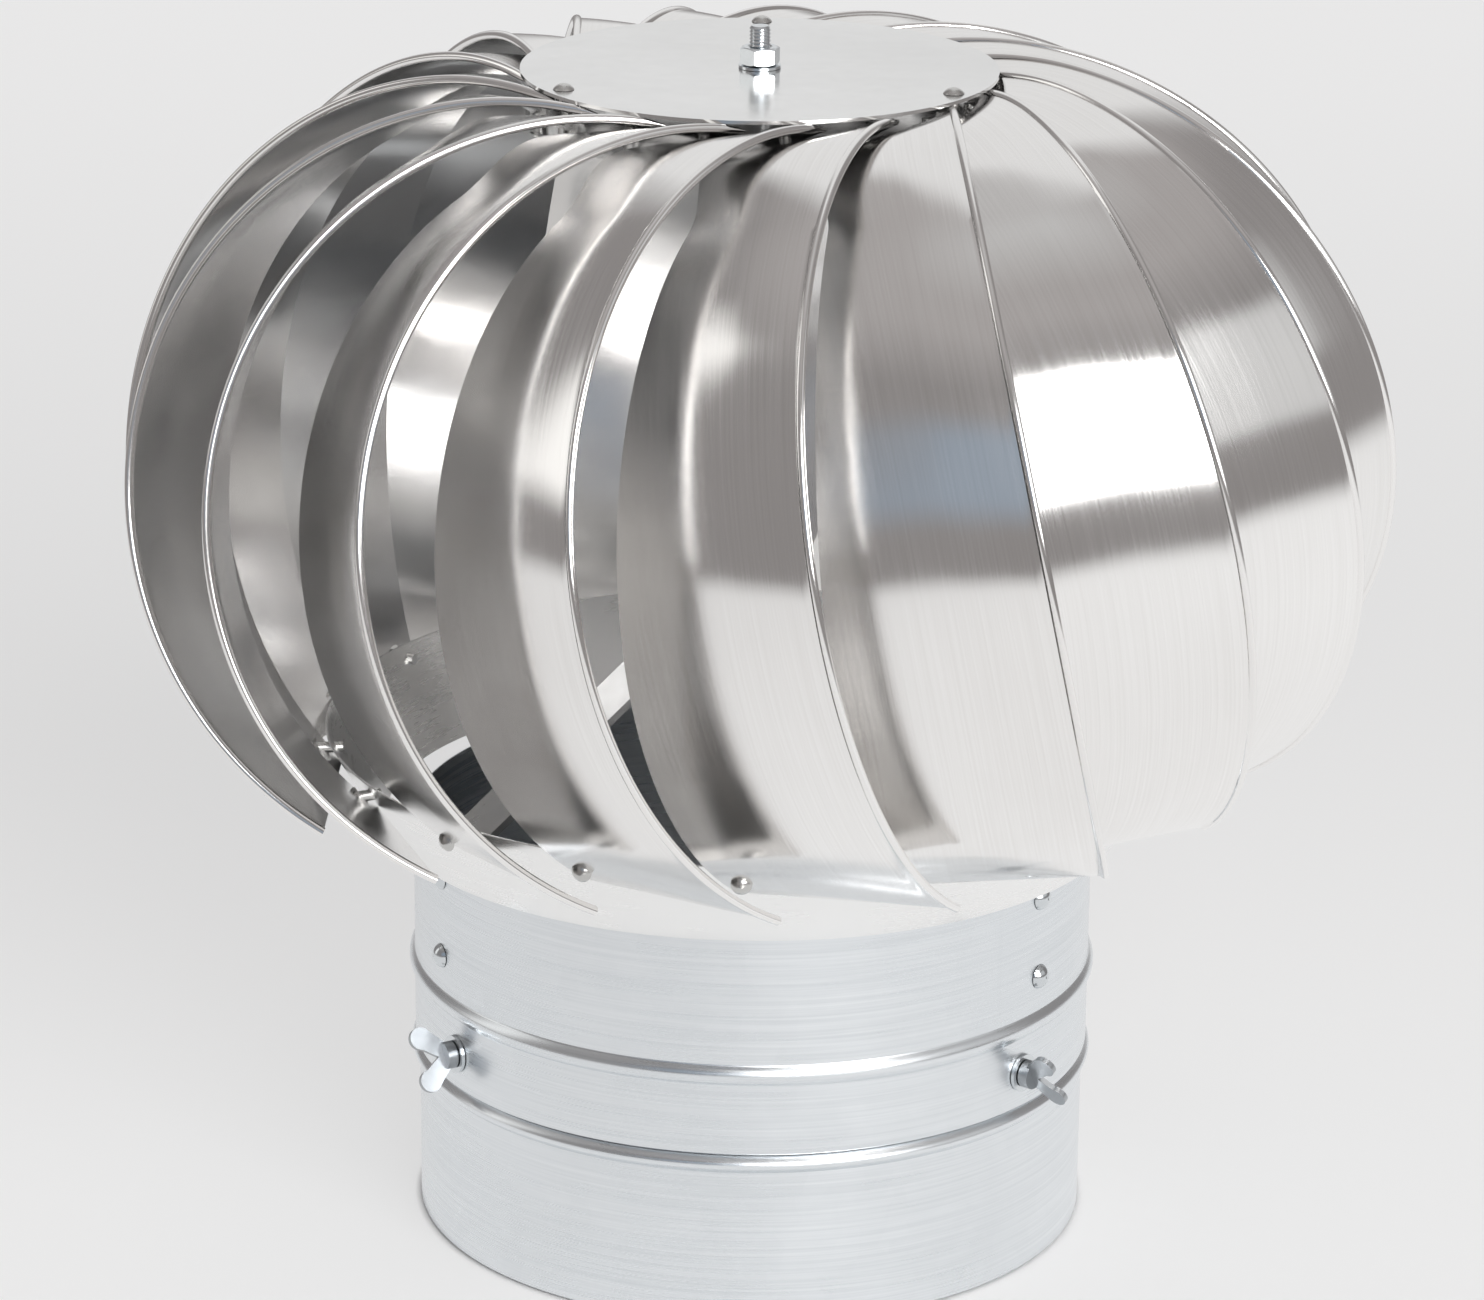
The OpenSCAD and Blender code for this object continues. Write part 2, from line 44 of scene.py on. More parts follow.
def meshObject(name, verts, faces, uvs=None, sharp=40, body=None, replaces=(), material=None,
               second=None, secondFaces=()):
    mesh = bpy.data.meshes.new(name)
    mesh.from_pydata([tuple(v) for v in verts], [], [tuple(f) for f in faces])
    mesh.validate()
    mesh.shade_smooth()
    mesh.set_sharp_from_angle(angle=math.radians(sharp))
    if uvs is not None:
        layer = mesh.uv_layers.new(name="sheet")
        index = np.zeros(len(mesh.loops), dtype=np.int64)
        mesh.loops.foreach_get("vertex_index", index)
        layer.data.foreach_set("uv", np.asarray(uvs, dtype=np.float32)[index].ravel())
    obj = bpy.data.objects.new(name, mesh)
    bpy.context.scene.collection.objects.link(obj)
    if material:
        mesh.materials.append(material)
    if second:
        mesh.materials.append(second)
        for i in secondFaces:
            mesh.polygons[i].material_index = 1
    if body:
        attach(obj, body)
    for node in replaces:
        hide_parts(node)
    return obj


def gridFaces(rows, cols, wrapRows=False):
    faces = []
    for i in range(rows if wrapRows else rows - 1):
        for j in range(cols):
            a, b = i * cols + j, i * cols + (j + 1) % cols
            c = ((i + 1) % rows) * cols
            faces.append((a, b, c + (j + 1) % cols, c + j))
    return faces


# Faint dents of turned sheet: how quickly they change around and upwards, and the radius that its UVs use.
dent = {"around": 2.3, "up": 0.02, "uvRadius": 0.1}


def latheData(profile, segments, depth, seed):
    verts, uvs = [], []
    outline = np.array(profile, float)
    steps = np.hypot(*np.diff(np.vstack([outline, outline[:1]]), axis=0).T)
    run = np.concatenate([[0], np.cumsum(steps)[:-1]])
    for i in range(segments):
        turn = 2 * math.pi * i / segments
        for (r, z), along in zip(outline, run):
            spot = (math.cos(turn) * dent["around"] + seed, math.sin(turn) * dent["around"], z * dent["up"])
            out = r + depth * noise.noise(Vector(spot))
            verts.append((out * math.cos(turn) * mm, out * math.sin(turn) * mm, z * mm))
            uvs.append((turn * dent["uvRadius"], along * mm))
    return verts, gridFaces(segments, len(profile), wrapRows=True), uvs


# The node tree of a material or of the world, with short ways to add to it.
# In a mix node, sockets 2 and 3 are the numbers, and 6 and 7 the colours.
class Nodes:
    def __init__(self, owner):
        self.owner = owner
        owner.use_nodes = True
        self.tree = owner.node_tree
        self.bsdf = self.tree.nodes.get("Principled BSDF")

    def add(self, kind, **settings):
        node = self.tree.nodes.new(kind)
        for key, value in settings.items():
            setattr(node, key, value)
        return node

    def link(self, out, socket):
        self.tree.links.new(out, socket)

    def calc(self, operation, *values, clamp=False):
        node = self.add("ShaderNodeMath", operation=operation, use_clamp=clamp)
        for socket, value in zip(node.inputs, values):
            if isinstance(value, (int, float)):
                socket.default_value = value
            else:
                self.link(value, socket)
        return node.outputs["Value"]

    def stretched(self, source, scale, detail, rough=0.55):
        mapping = self.add("ShaderNodeMapping")
        mapping.inputs["Scale"].default_value = scale
        self.link(source, mapping.inputs["Vector"])
        result = self.add("ShaderNodeTexNoise")
        result.inputs["Scale"].default_value = 1.0
        result.inputs["Detail"].default_value = detail
        result.inputs["Roughness"].default_value = rough
        self.link(mapping.outputs["Vector"], result.inputs["Vector"])
        return result.outputs["Fac"]

    def ramp(self, source, low, high, toLow, toHigh):
        node = self.add("ShaderNodeMapRange")
        for key, value in zip(("From Min", "From Max", "To Min", "To Max"), (low, high, toLow, toHigh)):
            node.inputs[key].default_value = value
        self.link(source, node.inputs["Value"])
        return node.outputs["Result"]

    def blend(self, first, second, share):
        node = self.add("ShaderNodeMix", data_type="FLOAT")
        node.inputs["Factor"].default_value = share
        self.link(first, node.inputs[2])
        self.link(second, node.inputs[3])
        return node.outputs[0]

    def tint(self, source, dark, light):
        node = self.add("ShaderNodeMix", data_type="RGBA")
        node.inputs[6].default_value = (*dark, 1)
        node.inputs[7].default_value = (*light, 1)
        self.link(source, node.inputs["Factor"])
        return node.outputs[2]

    def bump(self, source, strength, distance, normal=None):
        node = self.add("ShaderNodeBump")
        node.inputs["Strength"].default_value = strength
        node.inputs["Distance"].default_value = distance
        self.link(source, node.inputs["Height"])
        if normal is not None:
            self.link(normal, node.inputs["Normal"])
        return node.outputs["Normal"]

    def mixShader(self, share, first, second):
        node = self.add("ShaderNodeMixShader")
        self.link(share, node.inputs["Fac"])
        self.link(first, node.inputs[1])
        self.link(second, node.inputs[2])
        return node.outputs["Shader"]


# Metals. Each has its own grain, smears and tone. Contrast is the part of a noise that spans dark to light.
contrast = (0.3, 0.7)
smear = {"detail": 4.0, "rough": 0.6}

bladeLook = {
    "dark": (0.83, 0.815, 0.80), "light": (0.94, 0.93, 0.92), "rough": (0.11, 0.19), "roughTo": 0.72,
    "grainRough": (-0.02, 0.03), "anisotropy": 0.6, "streaks": 0.5, "smearScale": (11, 11, 9),
    "grainScale": (1500, 12, 1), "grainDetail": 4.0, "grainBump": 0.09, "grainDepth": 0.0001,
    "fineScale": (5200, 40, 1), "fineDetail": 2.0, "fineBump": 0.06, "fineDepth": 0.00004}


def bladeSteel():
    look = bladeLook
    m = Nodes(bpy.data.materials.new("bladeSteel"))
    coords = m.add("ShaderNodeTexCoord")
    grain = m.stretched(coords.outputs["UV"], look["grainScale"], look["grainDetail"])
    fine = m.stretched(coords.outputs["UV"], look["fineScale"], look["fineDetail"])
    patches = m.stretched(coords.outputs["Object"], look["smearScale"], smear["detail"], smear["rough"])
    tone = m.blend(m.ramp(patches, *contrast, 0, 1), m.ramp(grain, *contrast, 0, 1), look["streaks"])
    m.link(m.tint(tone, look["dark"], look["light"]), m.bsdf.inputs["Base Color"])
    patchRough = m.ramp(patches, contrast[0], look["roughTo"], *look["rough"])
    grainRough = m.ramp(grain, *contrast, *look["grainRough"])
    m.link(m.calc("ADD", patchRough, grainRough), m.bsdf.inputs["Roughness"])
    m.bsdf.inputs["Metallic"].default_value = 1.0
    m.bsdf.inputs["Anisotropic"].default_value = look["anisotropy"]
    tangent = m.add("ShaderNodeTangent", direction_type="UV_MAP", uv_map="sheet")
    m.link(tangent.outputs["Tangent"], m.bsdf.inputs["Tangent"])
    coarse = m.bump(grain, look["grainBump"], look["grainDepth"])
    m.link(m.bump(fine, look["fineBump"], look["fineDepth"], coarse), m.bsdf.inputs["Normal"])
    return m.owner


plainLook = {
    "smearScale": (14, 14, 14), "grainDetail": 3.0, "grainRough": (-0.03, 0.04), "grainDepth": 0.0001,
    "spangleScale": 150.0}


def plainSteel(name, dark, light, rough, scale, bump=0.04, spangle=0.0, lines=0.0):
    look = plainLook
    m = Nodes(bpy.data.materials.new(name))
    coords = m.add("ShaderNodeTexCoord")
    grain = m.stretched(coords.outputs["Object"], scale, look["grainDetail"])
    patches = m.stretched(coords.outputs["Object"], look["smearScale"], smear["detail"], smear["rough"])
    tone = m.ramp(patches, *contrast, 0, 1)
    if lines:
        tone = m.blend(tone, m.ramp(grain, *contrast, 0, 1), lines)
    if spangle:
        cells = m.add("ShaderNodeTexVoronoi")
        cells.inputs["Scale"].default_value = look["spangleScale"]
        m.link(coords.outputs["Object"], cells.inputs["Vector"])
        grey = m.add("ShaderNodeRGBToBW")
        m.link(cells.outputs["Color"], grey.inputs["Color"])
        tone = m.calc("MULTIPLY_ADD", grey.outputs["Val"], spangle, tone)
    m.link(m.tint(tone, dark, light), m.bsdf.inputs["Base Color"])
    grainRough = m.ramp(grain, *contrast, *look["grainRough"])
    m.link(m.calc("ADD", m.ramp(patches, *contrast, *rough), grainRough), m.bsdf.inputs["Roughness"])
    m.bsdf.inputs["Metallic"].default_value = 1.0
    m.link(m.bump(grain, bump, look["grainDepth"]), m.bsdf.inputs["Normal"])
    return m.owner


steelLooks = {
    # The blade backs have a rougher, duller finish, which is real. Their tone, lighter than the blades'
    # fronts, is painted light on the shaded insides.
    "backSteel": {"dark": (0.86, 0.85, 0.84), "light": (0.95, 0.945, 0.94), "rough": (0.15, 0.22),
                  "scale": (30, 30, 60)},
    "capSteel": {"dark": (0.78, 0.78, 0.775), "light": (0.88, 0.88, 0.875), "rough": (0.11, 0.18),
                 "scale": (260, 260, 40), "bump": 0.012},
    "ringSteel": {"dark": (0.92, 0.915, 0.905), "light": (0.97, 0.97, 0.965), "rough": (0.24, 0.34),
                  "scale": (60, 60, 900)},
    "galvanised": {"dark": (0.70, 0.73, 0.755), "light": (0.86, 0.885, 0.905), "rough": (0.24, 0.33),
                   "scale": (14, 14, 1300), "bump": 0.16, "spangle": 0.10, "lines": 0.6},
    "stripSteel": {"dark": (0.42, 0.42, 0.42), "light": (0.62, 0.62, 0.62), "rough": (0.24, 0.38),
                   "scale": (300, 300, 90)},
    "turnedSteel": {"dark": (0.45, 0.455, 0.46), "light": (0.62, 0.625, 0.63), "rough": (0.2, 0.32),
                    "scale": (60, 60, 2200), "bump": 0.08},
    "bearingSteel": {"dark": (0.46, 0.46, 0.47), "light": (0.58, 0.58, 0.59), "rough": (0.1, 0.2),
                     "scale": (90, 90, 1200)},
    "rivetSteel": {"dark": (0.52, 0.515, 0.50), "light": (0.72, 0.715, 0.70), "rough": (0.2, 0.32),
                   "scale": (500, 500, 500)},
    "wingZinc": {"dark": (0.36, 0.375, 0.39), "light": (0.50, 0.52, 0.54), "rough": (0.26, 0.38),
                 "scale": (400, 400, 400), "bump": 0.06},
    "zinc": {"dark": (0.62, 0.65, 0.67), "light": (0.80, 0.83, 0.85), "rough": (0.12, 0.24),
             "scale": (700, 700, 700)}}

steel = bladeSteel()
metals = {name: plainSteel(name, **look) for name, look in steelLooks.items()}
print("materials made")

# Lower ring. The blades' feet lie on its outside.
ring = {
    "lowR": 108, "lowZ": 119.85, "flare": 17, "h": 28, "wall": 0.9, "steps": 8, "dents": (0.10, 5),
    "lowRimIn": 0.2, "lowRimOut": 0.1, "lowRimUp": 0.4, "highRim": 0.2, "highRimIn": 0.4}

# Blades. Their rails are the solids' own. The sheet between them is finer and has a flatter crown.
blade = {
    "arcR": 109, "centreR": 93.6, "centreZ": 233.92, "yaw": 37, "lean": 12, "phase": 14.1, "count": 18,
    "arcTop": 100.4, "arcBottom": -62.5, "cover": (0.95, 0.895, 1.24), "inset": (4, 25.7), "tuck": 9.5,
    "closeAt": 0.11, "closeHalf": 0.14, "closeCover": 0.36, "closeRise": 1.9, "topDrop": 1.2,
    "dropShare": 0.12, "halfSheet": 0.4, "seat": 0.1, "camber": 1.4, "skew": 0.75, "crease": 0.45,
    "creaseSoft": 0.01, "thick": 0.7, "innerShare": 0.03, "rows": 130, "across": 40, "uvLength": 0.31,
    "hemR": 1.3, "hemSteps": 18, "hemHalfTurn": 152, "hemStart": 0.45, "hemGrow": 28}
bladeDent = {"depth": 0.05, "across": 1.6, "along": 4.2, "seedAcross": 7.1, "seedUp": 0.3, "fade": 6,
             "edgeLeft": 0.3}


def spoke(turn):
    yaw, lean = math.radians(blade["yaw"]), math.radians(blade["lean"])
    c, s = np.cos(turn), np.sin(turn)
    return np.stack([-c * math.cos(yaw) - s * math.sin(yaw) * math.sin(lean),
                     -c * math.sin(yaw) + s * math.cos(yaw) * math.sin(lean),
                     s * math.cos(lean)], -1)


def rails(u):
    centre = np.array([0, -blade["centreR"], blade["centreZ"]])
    turn = np.radians(blade["arcTop"] + (blade["arcBottom"] - blade["arcTop"]) * u)
    out = spoke(turn)
    outer = centre + blade["arcR"] * out
    outer[:, 2] -= blade["topDrop"] * np.clip(1 - u / blade["dropShare"], 0, None) ** 2
    near = np.clip((u - blade["closeAt"]) / blade["closeHalf"], -1, 1)
    closing = 0.5 + 0.5 * np.cos(math.pi * near)

    def through(a, m, b):
        return a * (2 * u - 1) * (u - 1) + m * 4 * u * (1 - u) + b * u * (2 * u - 1)

    foot = centre + blade["arcR"] * spoke(np.radians(np.array([blade["arcBottom"]])))[0]
    ringR = ring["lowR"] + ring["flare"] * (foot[2] - ring["lowZ"]) / ring["h"]
    insetFoot = math.hypot(foot[0], foot[1]) - ringR - blade["halfSheet"] - blade["seat"]
    radius = np.hypot(outer[:, 0], outer[:, 1])
    angle = np.arctan2(outer[:, 0], -outer[:, 1])
    step = math.radians(360 / blade["count"])
    innerR = radius - through(blade["inset"][0], blade["inset"][1], insetFoot)
    innerA = angle - step * (through(*blade["cover"]) + blade["closeCover"] * closing)
    inner = np.stack([innerR * np.sin(innerA), -innerR * np.cos(innerA),
                      outer[:, 2] - blade["tuck"] * (1 - u) + blade["closeRise"] * closing], -1)
    return outer, inner, out


def crown(u, s):
    x = s ** blade["skew"]
    bow = np.sin(math.pi * x)
    bent = 1 - np.sqrt((2 * x - 1) ** 2 + blade["creaseSoft"]) + blade["creaseSoft"]
    return blade["camber"] * np.sqrt(np.clip(np.sin(math.pi * u), 0, None)) * (
        bow * (1 - blade["crease"]) + bent * blade["crease"])


def bladeDents(u, s, seed):
    d = bladeDent
    fade = min(1, d["fade"] * s) * min(1, d["fade"] * (1 - s) + d["edgeLeft"])
    lift = np.array([noise.noise(Vector((s * d["across"] + seed * d["seedAcross"], v * d["along"],
                                         d["seedUp"] * seed))) for v in u])
    return lift * d["depth"] * fade


def bladeMesh(seed):
    u = np.linspace(0, 1, blade["rows"])
    outer, inner, out = rails(u)
    across = np.linspace(1, blade["innerShare"], blade["across"])
    wide = outer - inner
    wide /= np.linalg.norm(wide, axis=1)[:, None]
    loops, coords = [], []
    spread = np.linalg.norm(outer - inner, axis=1)
    uvAlong = u * blade["uvLength"]
    for sign in (1, -1):
        part = []
        for s in (across if sign > 0 else across[::-1]):
            place = outer * (1 - s) + inner * s + (crown(u, s) + sign * blade["thick"] / 2)[:, None] * out
            part.append(place + bladeDents(u, s, seed)[:, None] * out)
            coords.append(np.stack([s * spread * mm, uvAlong], -1))
        loops.append(part)
    hem, hemCoords = [], []
    bead = (blade["hemR"] * np.clip(blade["hemStart"] + blade["hemGrow"] * u, 0, 1))[:, None]
    for t in np.radians(np.linspace(blade["hemHalfTurn"], -blade["hemHalfTurn"], blade["hemSteps"])):
        hem.append(outer + bead * (math.cos(t) * wide + math.sin(t) * out))
        hemCoords.append(np.stack([np.full_like(u, -t * blade["hemR"] * mm), uvAlong], -1))
    count = blade["across"]
    verts = np.stack(loops[0] + hem + loops[1], 1) * mm
    uvs = np.stack(coords[:count] + hemCoords + coords[count:], 1)
    cols = verts.shape[1]
    faces = [f[::-1] for f in gridFaces(blade["rows"], cols)]
    backFaces = [i for i in range(len(faces)) if i % cols >= cols - count]
    last = (blade["rows"] - 1) * cols
    for j in range(cols // 2 - 1):
        faces.append((j, j + 1, cols - 2 - j, cols - 1 - j))
        faces.append((last + j, last + cols - 1 - j, last + cols - 2 - j, last + j + 1))
    return verts.reshape(-1, 3), faces, uvs.reshape(-1, 2), backFaces


for k in range(blade["count"]):
    verts, faces, uvs, backFaces = bladeMesh(k + 1)
    turn = math.radians(blade["phase"] + 360 / blade["count"] * k)
    c, s = math.cos(turn), math.sin(turn)
    verts = verts @ np.array([[c, s, 0], [-s, c, 0], [0, 0, 1]])
    name = f"blade_{k + 1:02d}"
    # The back faces take backSteel, whose lighter tone is painted light on the shaded insides.
    meshObject("sheet_" + name, verts, faces, uvs, 35, "head", [name], steel,
               metals["backSteel"], backFaces)
print("blades made")

# Sleeve, collar and lower ring: turned outlines, with soft roots where a bead rises from the sheet.
tube = {
    "sheet": 0.8, "rim": 0.3, "segments": 288, "sleeveR": 98.2, "sleeveTop": 72.65, "stopZ": 48.9,
    "stopH": 5.5, "stopOut": 2.2, "sleeveDents": (0.10, 3), "bandR": 99.4, "bandZ": 52.05, "beadZ": 76.05,
    "beadH": 6, "beadOut": 1.6, "top": 120.55, "collarDents": (0.12, 8)}
bulge = {"steps": 22, "reach": 1.25, "power": 0.9}
# Heights of the extra rows of points that carry the dents.
rowHeights = {"sleeveLow": (12, 30), "sleeveHigh": (62,), "collarLow": (60, 68),
              "collarHigh": (84, 95, 108), "collarInside": (80, 72)}


def beadBulge(r, z, h, out):
    points = []
    for i in range(bulge["steps"] + 1):
        x = -bulge["reach"] + 2 * bulge["reach"] * i / bulge["steps"]
        swell = math.cos(abs(x) * math.pi / 2) ** bulge["power"] if abs(x) < 1 else 0
        points.append((r + out * swell, z + x * h / 2))
    return points


def rowsAt(r, key):
    return [(r, z) for z in rowHeights[key]]


def baseSleeve():
    t = tube
    r, rim, top = t["sleeveR"], t["rim"], t["sleeveTop"]
    outside = [(r - rim, 0), (r, rim)] + rowsAt(r, "sleeveLow")
    outside += beadBulge(r, t["stopZ"], t["stopH"], t["stopOut"])
    outside += rowsAt(r, "sleeveHigh") + [(r, top - rim), (r - rim, top)]
    inside = [(r - t["sheet"], top), (r - t["sheet"], 0)]
    verts, faces, uvs = latheData(outside + inside, t["segments"], *t["sleeveDents"])
    meshObject("sleeve_shell", verts, faces, uvs, 40, "base", ["base_sleeve"],
               metals["galvanised"])


def collarTube():
    t = tube
    r, inner, rim = t["bandR"], t["bandR"] - t["sheet"], t["rim"]
    outside = [(r - rim, t["bandZ"]), (r, t["bandZ"] + rim)] + rowsAt(r, "collarLow")
    outside += beadBulge(r, t["beadZ"], t["beadH"], t["beadOut"])
    outside += rowsAt(r, "collarHigh") + [(r, t["top"] - rim), (r - rim, t["top"])]
    inside = [(inner, t["top"])] + rowsAt(inner, "collarInside") + [(inner, t["bandZ"])]
    verts, faces, uvs = latheData(outside + inside, t["segments"], *t["collarDents"])
    meshObject("collar_shell", verts, faces, uvs, 40, "collar", ["collar_tube"],
               metals["galvanised"])


def lowerRing():
    lowR, lowZ, steps = ring["lowR"], ring["lowZ"], ring["steps"]
    highR, highZ = lowR + ring["flare"], lowZ + ring["h"]
    outside = [(lowR - ring["lowRimIn"], lowZ), (lowR + ring["lowRimOut"], lowZ + ring["lowRimUp"])]
    outside += [(lowR + (highR - lowR) * i / steps, lowZ + ring["h"] * i / steps) for i in range(1, steps)]
    outside += [(highR - ring["highRim"], highZ - ring["highRim"]), (highR - ring["highRimIn"], highZ)]
    inside = [(highR - ring["wall"], highZ), (lowR - ring["wall"], lowZ)]
    verts, faces, uvs = latheData(outside + inside, tube["segments"], *ring["dents"])
    meshObject("ring_shell", verts, faces, uvs, 40, "head", ["lower_ring"],
               metals["ringSteel"])


baseSleeve()
collarTube()
lowerRing()
print("sleeve, collar and ring made")

# The cap's nut, and the spindle with the threaded stud that the nut sits on.
stud = {
    "r": 3.0, "pitch": 1.0, "depth": 0.34, "crest": 0.8, "chamfer": 0.6, "segments": 40, "perPitch": 10,
    "shaftR": 6, "journalR": 4, "endChamfer": 0.5, "seat": 0.1}
nut = {"turn": 15, "rimShare": 0.93, "running": 0.05, "boreChamfer": 0.5, "segments": 96}


def nodeBox(name):
    corners = [nodes[name].matrix_world @ Vector(c) for c in nodes[name].bound_box]
    low = [min(c[i] for c in corners) / mm for i in range(3)]
    high = [max(c[i] for c in corners) / mm for i in range(3)]
    return low, high


def capNut():
    low, high = nodeBox("cap_nut")
    reach = max(abs(math.cos(math.radians(a + nut["turn"]))) for a in range(0, 360, 60))
    cornerR = max(high[0], high[1]) / reach
    flat = cornerR * math.cos(math.pi / 6)
    bore, rim = stud["r"] + nut["running"], flat * nut["rimShare"]
    count = nut["segments"]
    rows = []
    # A row without a radius follows the hexagon, and soft cuts its corners back from the end face.
    for r, z, soft in ((bore, low[2], 0), (rim, low[2], 0), (None, low[2], 1), (None, high[2], -1),
                       (rim, high[2], 0), (bore + nut["boreChamfer"], high[2], 0),
                       (bore, high[2] - nut["boreChamfer"], 0)):
        row = []
        for i in range(count):
            turn = 2 * math.pi * i / count
            side = (turn - math.radians(nut["turn"])) % (math.pi / 3) - math.pi / 6
            hexR = flat / math.cos(side)
            out = hexR if r is None else r
            row.append((out * math.cos(turn) * mm, out * math.sin(turn) * mm,
                        (z + soft * (hexR - rim) * math.tan(math.pi / 6)) * mm))
        rows.append(row)
    verts = [v for row in rows for v in row]
    meshObject("nut_on_cap", verts, gridFaces(len(rows), count, wrapRows=True), sharp=22, body="head",
               replaces=["cap_nut"], material=metals["zinc"])


def spindleStud():
    low, high = nodeBox("spindle")
    discLow = nodeBox("blade_disc")[0][2]
    race = nodeBox("upper_inner_race")[1][2]
    plateTop = nodeBox("cap_plate")[1][2]
    count, r, end = stud["segments"], stud["r"], stud["endChamfer"]
    journalR, shaftR, shoulder = stud["journalR"], stud["shaftR"], discLow - stud["seat"]
    outline = [(low[2], journalR - end), (low[2] + end, journalR), (race, journalR), (race, shaftR),
               (shoulder, shaftR), (shoulder, r), (plateTop, r)]
    rows = [[(rad * math.cos(2 * math.pi * i / count), rad * math.sin(2 * math.pi * i / count), z)
             for i in range(count)] for z, rad in outline]
    steps = int((high[2] - plateTop) / stud["pitch"] * stud["perPitch"])
    for k in range(1, steps + 1):
        z = plateTop + (high[2] - plateTop) * k / steps
        row = []
        for i in range(count):
            turn = 2 * math.pi * i / count
            wave = 0.5 - 0.5 * math.cos(2 * math.pi * (z / stud["pitch"]) - turn)
            rad = r - stud["depth"] * wave ** stud["crest"]
            rad = min(rad, r - stud["chamfer"] + (high[2] - z))
            row.append((rad * math.cos(turn), rad * math.sin(turn), z))
        rows.append(row)
    verts = [(x * mm, y * mm, z * mm) for row in rows for x, y, z in row]
    last = (len(rows) - 1) * count
    faces = gridFaces(len(rows), count) + [tuple(range(count))[::-1], tuple(range(last, last + count))]
    meshObject("spindle_with_stud", verts, faces, sharp=30, body="head", replaces=["spindle"],
               material=metals["zinc"])


capNut()
spindleStud()
print("cap fasteners made")

# Looks of the solids that are shown as they are.
cadLooks = {
    "capSteel": ("cap_plate", "blade_disc"),
    "stripSteel": ("leg_left", "leg_right", "leg_rear"),
    "turnedSteel": ("bearing_housing", "race_spacer", "cap_spacer"),
    "bearingSteel": ("lower_outer_race", "upper_outer_race", "lower_inner_race", "upper_inner_race",
                     "lower_balls", "upper_balls"),
    "rivetSteel": ("foot_rivets", "top_rivets", "cap_rivets"),
    "zinc": ("leg_screws", "leg_nuts", "clamp_nuts", "hub_screws", "hub_nuts", "lock_nut", "cap_washer"),
    "wingZinc": ("wing_screw_left", "wing_screw_right", "wing_screw_rear")}
for look, names in cadLooks.items():
    for name in names:
        mesh = nodes[name].data
        mesh.materials.clear()
        mesh.materials.append(metals[look])

# Studio: a pale floor with painted shade across its middle, and a sky of soft panels that the metal mirrors.
studio = {
    # The floor's near, middle and far colours are painted shade: the middle is darker than near and far.
    "near": (0.93, 0.93, 0.93), "middle": (0.85, 0.85, 0.85), "middleAt": 0.35, "far": (0.91, 0.91, 0.91),
    "shadeAlongY": (-0.1, 1.75), "floorRough": 0.6, "floorShine": 0.2, "floorZ": -0.0005, "size": 7,
    # The glow in the metal, set by mirrorGlow over mirrorX, is painted light and is stronger towards +X.
    "glow": 0.6, "mirrorGlow": (0.58, 1.0), "mirrorX": (-0.45, 0.45), "tableR": (1.15, 1.75),
    "sleeveEdge": 0.002, "backdrop": 0.82, "walls": 0.27, "wallTint": (1.04, 0.99, 0.98),
    "ceiling": 0.40, "ceilingRise": (50, 95), "ceilingSoft": 8,
    "panels": [
        {"turn": (3, 46), "rise": (8, 41), "soft": (2, 1), "strength": 6.0, "colour": (1.0, 1.0, 1.0)},
        {"turn": (46, 97), "rise": (9, 38), "soft": (3, 2), "strength": 0.64, "colour": (1.0, 1.0, 1.0)},
        {"turn": (-34, 3), "rise": (7, 32), "soft": (8, 4), "strength": 0.36, "colour": (0.84, 0.98, 1.16)},
        {"turn": (-106, -84), "rise": (3, 42), "soft": (3, 3), "strength": 1.15,
         "colour": (1.0, 0.99, 0.97)},
        {"turn": (148, 188), "rise": (3, 76), "soft": (7, 6), "strength": 0.80, "colour": (1.0, 1.0, 1.0)},
        {"turn": (-188, -155), "rise": (3, 76), "soft": (7, 6), "strength": 0.80,
         "colour": (1.0, 1.0, 1.0)},
        {"turn": (-190, 190), "rise": (80, 105), "soft": (5, 12), "strength": 0.60,
         "colour": (1.0, 1.0, 1.0)}]}


